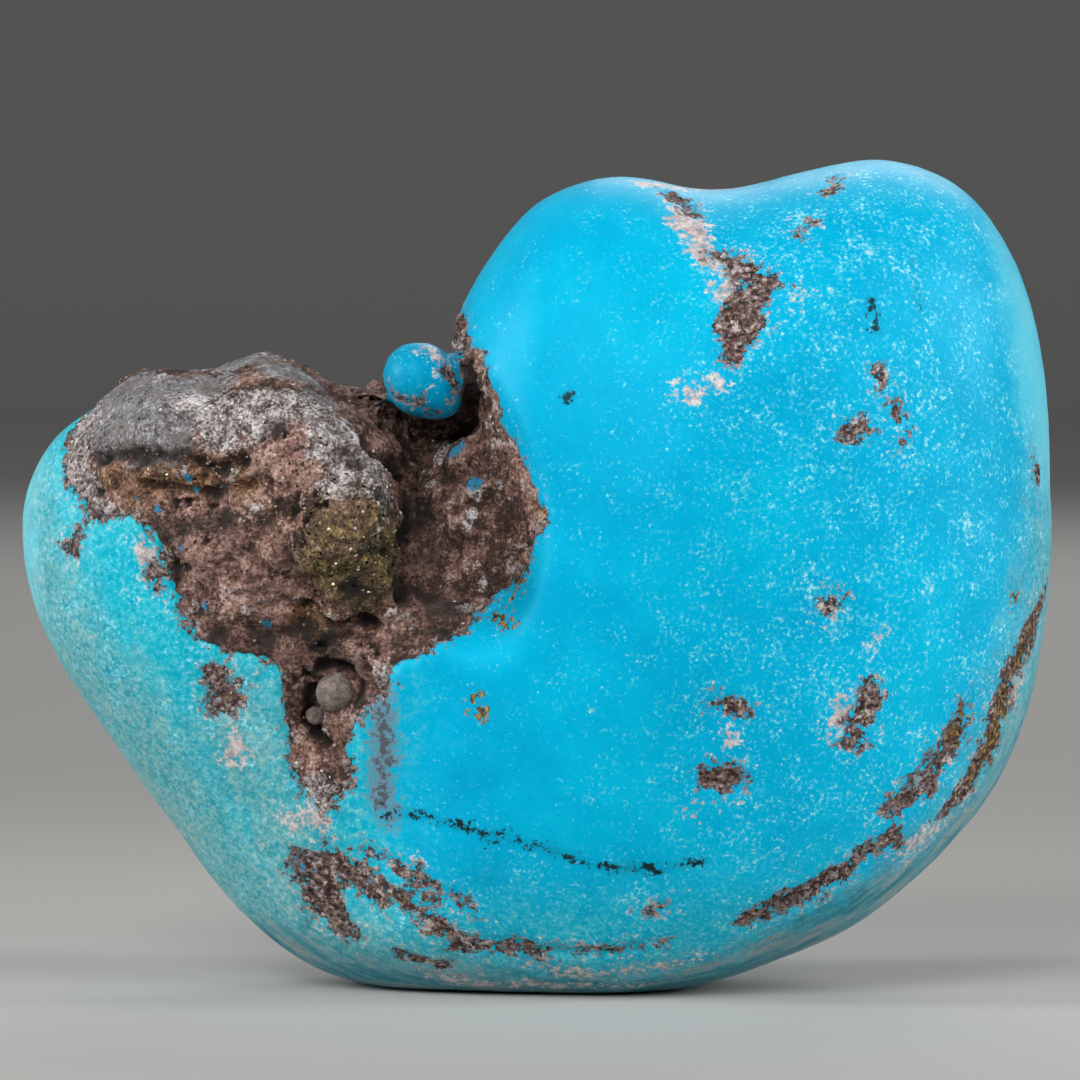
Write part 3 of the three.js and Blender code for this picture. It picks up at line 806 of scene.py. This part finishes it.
def host_rock_material():
    """Host rock, weathered: altered trachyte stained by iron, so brown and dull, with grey and white grains,
    brassy glints of pyrite, and painted shade darkening its pores, cracks and recesses."""
    colours = bpy.context.scene.nugget_colours
    material, tree = new_material("host_rock_weathered")
    where = add(tree, "ShaderNodeTexCoord").outputs["Object"]
    known = sources(
        tree,
        where,
        (*FRONT_ZONES, "pore", "rim", "nodule"),
        {
            "patch": (1.3, 5, 0.65),
            "lump": (0.7, 5, 0.7),
            "mottle": (0.4, 4, 0.65),
            "crumb": (0.18, 5, 0.8),
            "grit": (0.09, 3, 0.7),
        },
    )
    g = grains(tree, where, {"coarse": 0.34, "small": 0.14, "sand": 0.08})
    known["sand_tone"] = g["sand"][1]
    of = functools.partial(shares, known)
    # the sand tone is a little darker under the painted pore shade
    sand = total(tree, of(crumb=0.5, grit=0.2, sand_tone=0.1, lump=0.4, pore=-0.15))
    # painted shade: dark pits where the lump and crumb noises are lowest
    pit_shade = of(lump=-1.0, crumb=-1.0)
    shade = {
        name: add(
            tree,
            "ShaderNodeValToRGB",
            {"Fac": sand},
            stops=[(0.26 + 0.65 * place, linear(code)) for place, code in zip(TONES, codes)],
        )
        for name, codes in ROCK_TONES.items()
    }

    middle = 0.75  # of the two noises that break up a zone's edge

    def zone(kind, low, high, within=()):
        parts = [(known[kind], 1.0), *of(mottle=0.7, crumb=0.8)]
        return mask(tree, parts, low + middle, high + middle, within)

    glint = flecks(tree, g["sand"], 1, 0.16, 0.5, (zone("pyrite", 0.2, 0.9),))
    lone_glint = flecks(tree, g["small"], 2, 0.01, 0.2)
    metal = add(tree, "ShaderNodeMath", {0: glint, 1: lone_glint}, operation="MAXIMUM")
    base = paint(
        tree,
        shade["brown"],
        [
            (mask(tree, of(patch=1.0, mottle=0.5), 0.7, 0.86, (0.7,)), shade["rust"]),
            (mask(tree, of(lump=1.0, crumb=1.0), 1.17, 1.3, (0.6,)), shade["pale"]),
            (mask(tree, of(patch=-1.0, crumb=-0.3), -0.62, -0.52, (0.6,)), linear("#2A1A13")),
            # painted pit shade
            (mask(tree, pit_shade, -0.86, -0.76, (0.8,)), linear("#1E130E")),
            (zone("rust", 0.3, 0.6), shade["rust"]),
            (zone("ochre", 0.3, 0.7), shade["ochre"]),
            (mask(tree, of(nodule=1.0, crumb=1.2), 1.2, 1.4, (0.75,)), shade["pale"]),
            (zone("crust", 0.3, 0.5), shade["crust"]),
            (mask(tree, of(patch=1.0), 0.5, 0.6, (zone("crust", 0.3, 0.5), 0.5)), linear("#6E675A")),
            (mask(tree, of(lump=1.0, mottle=0.5), 0.84, 0.94, (zone("crust", 0.2, 0.4), 0.3)), shade["pale"]),
            (zone("pale", 0.35, 0.55), shade["pale"]),
            # painted pit shade in the pale parts
            (mask(tree, pit_shade, -0.86, -0.78, (zone("pale", 0.35, 0.55), 0.7)), linear("#3C3431")),
            (zone("pyrite", 0.2, 0.9), shade["pyrite"]),
            (flecks(tree, g["coarse"], 1, 0.08, 0.3, (0.8,)), linear("#B5ABA7")),
            (flecks(tree, g["small"], 2, 0.06, 0.4), linear("#17100D")),
            (mask(tree, of(rim=0.6, lump=2.5, crumb=1.5), 2.65, 2.9), linear("#AFA39F")),
            (mask(tree, of(blue=1.0, crumb=2.4), 1.7, 1.9), linear("#2187AC")),
            (metal, colours.gold),
            # painted shade: the dark spots and the pore shade, laid in the rock's recesses, cracks and low
            # places
            (zone("dark", 0.3, 0.8, (0.85,)), colours.dark),
            (mask(tree, of(pore=1.0), 0.2, 0.8, (0.85,)), colours.dark),
        ],
    )
    height = total(tree, [(g["small"][0], -0.3), *of(grit=1.6, crumb=1.6)])
    roughness = add(tree, "ShaderNodeMapRange", {"Value": metal, "To Min": 0.85, "To Max": 0.3})
    look = {"Base Color": base, "Roughness": roughness, "Metallic": metal, "IOR": 1.54}
    surface(tree, height, 0.6, 0.06, look)
    return material


def grain_material(name, codes, metallic, roughness):
    """Loose grains, each of one tone out of a few."""
    material, tree = new_material(name)
    where = add(tree, "ShaderNodeTexCoord").outputs["Object"]
    known = sources(tree, where, ("tone",), {"fine": (0.05, 2, 0.6)})
    colour = tones(tree, shares(known, tone=0.6, fine=0.4), codes)
    look = {"Base Color": colour, "Roughness": roughness, "Metallic": metallic}
    surface(tree, known["fine"], 0.4, 0.02, look)
    return material


def pebble_material():
    """Worn pebble: host rock rubbed smooth, so grey-brown and matt with a fine grain."""
    material, tree = new_material("worn_pebble")
    where = add(tree, "ShaderNodeTexCoord").outputs["Object"]
    known = sources(tree, where, (), {"mottle": (0.25, 4, 0.6), "fine": (0.06, 2, 0.6)})
    colour = add(
        tree,
        "ShaderNodeValToRGB",
        {"Fac": total(tree, shares(known, mottle=0.6, fine=0.4))},
        stops=[(0.35, linear("#4A3E37")), (0.5, linear("#756860")), (0.68, linear("#A0938A"))],
    )
    surface(tree, known["fine"], 0.7, 0.05, {"Base Color": colour, "Roughness": 0.75, "IOR": 1.54})
    return material


class NUGGET_OT_turquoise_body(bpy.types.Operator):
    """Makes the turquoise: both lobes, the rim of the hollow and the bead"""

    bl_idname = "nugget.turquoise_body"
    bl_label = "Turquoise body"

    def execute(self, context):
        sizes = context.scene.nugget_sizes
        points, faces = nugget_skin()
        rock = inside_rock(points)
        marks = {kind: inside_marks(points, kind) for kind in FRONT_MARKS}
        across, _, up = ((points - LOW) / (HIGH - LOW)).T
        left = smooth(0.36, 0.22, across) * smooth(0.12, 0.3, up)
        low_down = smooth(0.2, 0.1, up) * smooth(0.76, 0.48, across)
        pitted = smooth(-0.12, 0.12, marks["brown"]) * (0.07 + 0.05 * lumps(points, 0.35))
        normals = normals_of(points, faces)
        under = np.flatnonzero(rock > -0.1)
        sunk = np.zeros(len(points))
        sunk[under] = sunk_under(rock[under], room_behind(points[under], normals[under]))
        height = sizes.unevenness / MM * lumps(points, 4.0, 2) + 0.012 * lumps(points, 0.9, 2) - sunk - pitted
        moved = points + normals * height[:, None]
        moved[:, 2] = np.maximum(moved[:, 2], 0)
        fields = {
            **marks,
            "rock": rock,
            "layer": inside_bands(points, LAYERS),
            "sandy": inside_bands(points, SANDY),
            # chalky rubbed polish and painted highlight along both ends
            "rubbed": inside_bands(points, RUBBED_AND_SHEEN),
            "green": smooth(0.44, 0.24, across) + 0.6 * smooth(0.22, 0.04, up),
            "speckled": smooth(0.48, 0.76, across) + 0.8 * left + 0.8 * low_down,
            # where the bead's painted shade is laid
            "bead": smooth(0.6, -0.6, bead_gap(points)),
        }
        piece = piece_from("turquoise", moved, faces, fields, turquoise_material())
        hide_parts("nugget")
        return {"FINISHED"}


def rock_shell():
    """The skin where the host rock shows and a little beyond, closed behind, its outside faces made fine.
    Gives points in mm, faces, and which points are on the outside."""
    points, faces = nugget_skin()
    kept = faces[(inside_rock(points) > -ROCK_MARGIN)[faces].all(axis=1)]
    used, numbers = np.unique(kept, return_inverse=True)
    outer = numbers.reshape(kept.shape)
    count = len(used)
    top = points[used]
    outward = normals_of(points, faces)[used]
    thinner = (ROCK_DEPTH - ROCK_DEPTH_BY_BEAD) * smooth(1.5, 0.5, bead_gap(top))
    depth = np.minimum(ROCK_DEPTH - thinner, room_behind(top, outward))
    behind = top - outward * depth[:, None]
    held = {tuple(pair) for pair in sides_of(outer).tolist()}
    rim = [(b, a, a + count, b + count) for a, b in held if (b, a) not in held]
    shell = bmesh.new()
    corners = [shell.verts.new(p) for p in np.vstack((top, behind)).tolist()]
    for face in outer.tolist():
        shell.faces.new([corners[i] for i in face]).material_index = 0
    for face in (outer[:, ::-1] + count).tolist() + rim:
        shell.faces.new([corners[i] for i in face]).material_index = 1
    outside = {edge for face in shell.faces if face.material_index == 0 for edge in face.edges}
    shell.edges.index_update()
    bmesh.ops.subdivide_edges(shell, edges=sorted(outside, key=lambda e: e.index), cuts=2, use_grid_fill=True)
    shell.verts.index_update()
    fine = np.array([v.co[:] for v in shell.verts])
    made = [([v.index for v in face.verts], face.material_index) for face in shell.faces]
    shell.free()
    on_top = np.zeros(len(fine), bool)
    on_top[[i for face, kind in made if kind == 0 for i in face]] = True
    return fine, made, on_top


class NUGGET_OT_host_rock(bpy.types.Operator):
    """Makes the host rock in the hollow: its crust, bosses, cracks and pores"""

    bl_idname = "nugget.host_rock"
    bl_label = "Host rock"

    def execute(self, context):
        sizes = context.scene.nugget_sizes
        points, made, on_top = rock_shell()
        quads = np.array([face for face, kind in made if kind == 0 and len(face) == 4])
        top = np.flatnonzero(on_top)
        points = np.where(on_top[:, None], smoothed(points, edges_of(quads), 4), points)
        normal = normals_of(points, quads)[top]
        where = points[top]
        rock = inside_rock(where)
        zones = {kind: spots(where, kind) for kind in FRONT_ZONES}
        crusted = np.clip(zones["crust"] * 1.2, 0, 1)
        lump = lumps(where, 1.1, 4)
        crumb = ridges(where, 0.8)
        grit = lumps(where, 0.22, 1)
        nodules = smooth(0.6, 0.15, cells(where + 0.1 * lumps(where, 0.3)[:, None], 0.6)[:, 0])
        nodules *= smooth(0.0, 0.35, lumps(where + 5, 1.3, 2))
        hole = smooth(0.2, 0.55, lumps(where + 9, 0.45, 3)) * smooth(0.0, 0.5, lumps(where + 9, 1.6, 2))
        hole *= 1 - crusted
        cracks = np.zeros(len(where))
        for places, width, depth in CRACKS:
            chain = [(on_skin(*place, FRONT), width) for place in places]
            wavy = inside_chain(where, chain) + 0.12 * lumps(where, 0.35)
            cracks = np.maximum(cracks, depth * smooth(-0.12, 0.6 * width, wavy))
        swell = np.zeros(len(where))
        for place, reach, tall in BOSSES:
            gap = np.linalg.norm(where - on_skin(*place, FRONT), axis=1) / reach
            swell += tall * np.exp(-(gap**2))
        place, reach, low = SADDLE
        gap = np.linalg.norm(where[:, [0, 2]] - seen_at(*place), axis=1) / reach
        swell -= low * np.exp(-(gap**2))
        rough = sizes.rock_roughness / MM * (1 - 0.7 * crusted)
        inner = smooth(0.0, 0.9, rock)
        height = inner * (
            0.06
            + swell
            + rough * (0.9 * lump + 0.5 * (crumb - 1))
            + zones["pyrite"] * 0.07 * (np.round(lumps(where, 0.2, 1) * 2) / 2)
            + (0.07 - 0.05 * crusted) * lumps(where, 0.35, 3)
            + 0.13 * (1 - crusted) * nodules
            - 0.35 * hole
            - cracks
        )
        height += (0.03 - 0.01 * crusted) * grit + 0.14 * (1 - inner) * lumps(where, 0.4, 3)
        floor = np.where(rock > 0.3, 0.15 - sunk_under(rock, room_behind(where, normal)), -np.inf)
        height = np.maximum(height, floor) - 0.5 * smooth(0.15, -0.5, rock)  # buried past its edge
        points[top] = where + normal * height[:, None]
        # painted shade: darkest in cracks and holes and on the low places of the relief
        pore = np.clip(1.6 * cracks + hole - (0.6 * lump + 0.5 * (crumb - 1)) * (1 - crusted), 0, 1)
        shape = {**zones, "pore": pore, "rim": 1 - inner, "nodule": nodules}
        fields = {}
        for name, values in shape.items():
            whole = np.zeros(len(points))
            whole[top] = values
            fields[name] = whole
        piece_from("host_rock", points, [face for face, _ in made], fields, host_rock_material())
        return {"FINISHED"}


class NUGGET_OT_vug_pebbles(bpy.types.Operator):
    """Makes the two worn pebbles caught in the tail of the hollow"""

    bl_idname = "nugget.vug_pebbles"
    bl_label = "Vug pebbles"

    def execute(self, context):
        shape = bmesh.new()
        for place, radius, sunk in (((31, 37), 0.58, 0.26), ((29, 34), 0.28, 0.25)):
            middle = Vector(on_skin(*place, FRONT)) + Vector((0, sunk, 0))
            made = bmesh.ops.create_icosphere(shape, subdivisions=5, radius=radius)
            for vert in made["verts"]:
                out = vert.co.normalized()
                vert.co *= 1 + 0.10 * noise.fractal(out * 1.3 + middle, 1.0, 2.0, 3)
                vert.co += out * 0.02 * noise.fractal(vert.co * 9, 1.0, 2.0, 3)
                vert.co.z *= 0.94
                vert.co = (vert.co + middle) * MM
        mesh = bpy.data.meshes.new("vug_pebbles")
        shape.to_mesh(mesh)
        shape.free()
        mesh.shade_smooth()
        finish_piece("vug_pebbles", mesh, pebble_material())
        return {"FINISHED"}


def scatter_tree():
    """Grains strewn over a surface: each a small solid of its own size, turn and tone."""
    tree = bpy.data.node_groups.new("Strewn grains", "GeometryNodeTree")
    tree.is_modifier = True
    face = tree.interface
    face.new_socket("Geometry", in_out="INPUT", socket_type="NodeSocketGeometry")
    for name, kind in (
        ("Zone", "NodeSocketString"),
        ("Per square metre", "NodeSocketFloat"),
        ("Size", "NodeSocketFloat"),
        ("Angular", "NodeSocketBool"),
        ("Seed", "NodeSocketInt"),
        ("Material", "NodeSocketMaterial"),
    ):
        face.new_socket(name, in_out="INPUT", socket_type=kind)
    face.new_socket("Geometry", in_out="OUTPUT", socket_type="NodeSocketGeometry")
    given = add(tree, "NodeGroupInput").outputs
    zone = add(tree, "GeometryNodeInputNamedAttribute", {"Name": given["Zone"]}, data_type="FLOAT")
    density = add(
        tree, "ShaderNodeMath", {0: zone, 1: given["Per square metre"]}, operation="MULTIPLY"
    )
    strewn = add(
        tree,
        "GeometryNodeDistributePointsOnFaces",
        {"Mesh": given["Geometry"], "Density": density, "Seed": given["Seed"]},
    )
    size = add(
        tree,
        "FunctionNodeRandomValue",
        {0: (0.45,) * 3, 1: (1.3,) * 3, "Seed": given["Seed"]},
        data_type="FLOAT_VECTOR",
    )
    turn = add(
        tree,
        "FunctionNodeRandomValue",
        {0: (0,) * 3, 1: (math.tau,) * 3, "Seed": given["Seed"]},
        data_type="FLOAT_VECTOR",
    )
    tone = add(tree, "FunctionNodeRandomValue", {"Seed": given["Seed"]}, data_type="FLOAT")
    scaled = add(
        tree, "ShaderNodeVectorMath", {0: size.outputs[0], "Scale": given["Size"]}, operation="SCALE"
    )
    ball = add(tree, "GeometryNodeMeshIcoSphere", {"Radius": 0.5, "Subdivisions": 2})
    cube = add(tree, "GeometryNodeMeshCube")
    shape = add(
        tree,
        "GeometryNodeSwitch",
        {"Switch": given["Angular"], "False": ball, "True": cube},
        input_type="GEOMETRY",
    )
    placed = add(
        tree,
        "GeometryNodeInstanceOnPoints",
        {
            "Points": strewn,
            "Instance": shape,
            "Rotation": turn.outputs[0],
            "Scale": scaled,
        },
    )
    toned = add(
        tree,
        "GeometryNodeStoreNamedAttribute",
        {"Geometry": placed, "Name": "tone", "Value": tone.outputs[1]},
        data_type="FLOAT",
        domain="INSTANCE",
    )
    real = add(tree, "GeometryNodeRealizeInstances", {"Geometry": toned})
    coloured = add(
        tree,
        "GeometryNodeSetMaterial",
        {"Geometry": real, "Material": given["Material"]},
    )
    add(tree, "NodeGroupOutput", {"Geometry": coloured})
    return tree


def strew(name, zone, per_mm2, size, angular, seed, material):
    """A mesh of grains strewn over the host rock where a zone is strong."""
    rock = bpy.data.objects["host_rock"]
    ground = bpy.data.objects.new("ground", rock.data)
    bpy.context.scene.collection.objects.link(ground)
    tree = bpy.data.node_groups.get("Strewn grains") or scatter_tree()
    modifier = ground.modifiers.new("Grains", "NODES")
    modifier.node_group = tree
    values = {
        "Zone": zone,
        "Per square metre": per_mm2 / MM**2,
        "Size": size,
        "Angular": angular,
        "Seed": seed,
        "Material": material,
    }
    for item in tree.interface.items_tree:
        if item.in_out == "INPUT" and item.name in values:
            modifier[item.identifier] = values[item.name]
    ground.update_tag()
    mesh = bpy.data.meshes.new_from_object(
        ground.evaluated_get(bpy.context.evaluated_depsgraph_get())
    )
    ground.modifiers.remove(modifier)
    bpy.data.objects.remove(ground)
    mesh.name = name
    return finish_piece(name, mesh, material)


class NUGGET_OT_quartz_grains(bpy.types.Operator):
    """Strews pale quartz and feldspar grains over the pale parts of the host rock"""

    bl_idname = "nugget.quartz_grains"
    bl_label = "Quartz grains"

    def execute(self, context):
        # Quartz and feldspar grains: pale, a little glassy.
        material = grain_material(
            "quartz_grain",
            ("#54463F", "#857871", "#A79B96", "#C2B9B5", "#DED7D4"),
            metallic=0.0,
            roughness=0.5,
        )
        strew("quartz_grains", "pale", 9, context.scene.nugget_sizes.grain, False, 11, material)
        return {"FINISHED"}


class NUGGET_OT_iron_grains(bpy.types.Operator):
    """Strews rusty grains over the brown parts of the host rock"""

    bl_idname = "nugget.iron_grains"
    bl_label = "Iron-stained grains"

    def execute(self, context):
        # Iron-stained grains: rusty and dull.
        material = grain_material(
            "iron_stained_grain",
            ("#2B1D18", "#4C362C", "#6B4F42", "#8A6A5C", "#AE8E78"),
            metallic=0.0,
            roughness=0.8,
        )
        strew("iron_grains", "rust", 14, context.scene.nugget_sizes.grain, False, 23, material)
        return {"FINISHED"}


class NUGGET_OT_pyrite_cubes(bpy.types.Operator):
    """Strews small pyrite cubes over the brassy part of the host rock"""

    bl_idname = "nugget.pyrite_cubes"
    bl_label = "Pyrite cubes"

    def execute(self, context):
        # Pyrite, tarnished: brassy metal gone brown and half dull.
        material = grain_material(
            "pyrite_tarnished",
            ("#2A2318", "#463B28", "#6B5C40", "#948261", "#C9B88F"),
            metallic=1.0,
            roughness=0.38,
        )
        strew("pyrite_cubes", "pyrite", 16, context.scene.nugget_sizes.pyrite_cube, True, 37, material)
        return {"FINISHED"}


class NUGGET_OT_stage(bpy.types.Operator):
    """Makes the floor, the soft lights and the camera"""

    bl_idname = "nugget.stage"
    bl_label = "Stage"

    def execute(self, context):
        sizes, colours = context.scene.nugget_sizes, context.scene.nugget_colours
        flat = sizes.floor_radius
        profile = [(0.0, 0.0), (flat * 0.5, 0.0)]
        rise = 0.5 * flat
        for i in range(13):
            angle = math.radians(90 * i / 12)
            profile.append((flat + rise * math.sin(angle), rise * (1 - math.cos(angle))))
        sweep = bmesh.new()
        verts = [sweep.verts.new((r, 0, z)) for r, z in profile]
        edges = [sweep.edges.new(pair) for pair in zip(verts, verts[1:])]
        bmesh.ops.spin(
            sweep,
            geom=verts + edges,
            cent=(0, 0, 0),
            axis=(0, 0, 1),
            angle=math.tau,
            steps=96,
            use_merge=True,
        )
        bmesh.ops.remove_doubles(sweep, verts=sweep.verts, dist=1e-6)
        bmesh.ops.recalc_face_normals(sweep, faces=sweep.faces)
        mesh = bpy.data.meshes.new("studio_floor")
        sweep.to_mesh(mesh)
        sweep.free()
        mesh.shade_smooth()
        # Matt paper: a plain pale ground with no shine.
        material, tree = new_material("matt_paper")
        shader = add(tree, "ShaderNodeBsdfPrincipled", {"Base Color": colours.floor, "Roughness": 0.9})
        add(tree, "ShaderNodeOutputMaterial", {"Surface": shader})
        mesh.materials.append(material)
        floor = bpy.data.objects.new("studio_floor", mesh)
        context.scene.collection.objects.link(floor)

        world = bpy.data.worlds.new("studio")
        world.use_nodes = True
        world.node_tree.nodes["Background"].inputs["Color"].default_value = linear("#B4B8BC")
        world.node_tree.nodes["Background"].inputs["Strength"].default_value = AMBIENT
        context.scene.world = world
        middle = Vector((0, 0, HIGH[2] * MM / 2))
        for name, place, size, power, spread in LIGHTS:
            lamp = bpy.data.lights.new(name, "AREA")
            lamp.shape = "RECTANGLE"
            lamp.size, lamp.size_y = size
            lamp.energy = power
            lamp.spread = math.radians(spread)
            light = bpy.data.objects.new(name, lamp)
            context.scene.collection.objects.link(light)
            light.location = place
            light.rotation_euler = (middle - light.location).to_track_quat("-Z", "Y").to_euler()

        lens = bpy.data.cameras.new("camera")
        lens.lens = LENS
        camera = bpy.data.objects.new("camera", lens)
        context.scene.collection.objects.link(camera)
        back = Vector((0, -math.cos(CAMERA_TILT), math.sin(CAMERA_TILT)))
        camera.location = CAMERA_AIM + back * CAMERA_DISTANCE
        camera.rotation_euler = (-back).to_track_quat("-Z", "Y").to_euler()
        lens.clip_start, lens.clip_end = 0.01, 10
        context.scene.camera = camera
        context.scene.view_settings.view_transform = "Standard"
        return {"FINISHED"}


class NUGGET_PT_parts(bpy.types.Panel):
    bl_idname = "NUGGET_PT_parts"
    bl_label = "Turquoise nugget"
    bl_space_type = "VIEW_3D"
    bl_region_type = "UI"
    bl_category = "Nugget"

    def draw(self, context):
        for group in (context.scene.nugget_sizes, context.scene.nugget_colours):
            for name in group.__annotations__:
                self.layout.prop(group, name)
        for part in PARTS:
            self.layout.operator(part.bl_idname)


PARTS = (
    NUGGET_OT_turquoise_body,
    NUGGET_OT_host_rock,
    NUGGET_OT_vug_pebbles,
    NUGGET_OT_quartz_grains,
    NUGGET_OT_iron_grains,
    NUGGET_OT_pyrite_cubes,
    NUGGET_OT_stage,
)
CLASSES = (NuggetSizes, NuggetColours, *PARTS, NUGGET_PT_parts)


def register():
    for made in CLASSES:
        bpy.utils.register_class(made)
    bpy.types.Scene.nugget_sizes = PointerProperty(type=NuggetSizes)
    bpy.types.Scene.nugget_colours = PointerProperty(type=NuggetColours)


def unregister():
    del bpy.types.Scene.nugget_sizes
    del bpy.types.Scene.nugget_colours
    for made in reversed(CLASSES):
        bpy.utils.unregister_class(made)


def main():
    register()
    for part in PARTS:
        group, name = part.bl_idname.split(".")
        getattr(getattr(bpy.ops, group), name)()


if __name__ == "__main__":
    main()
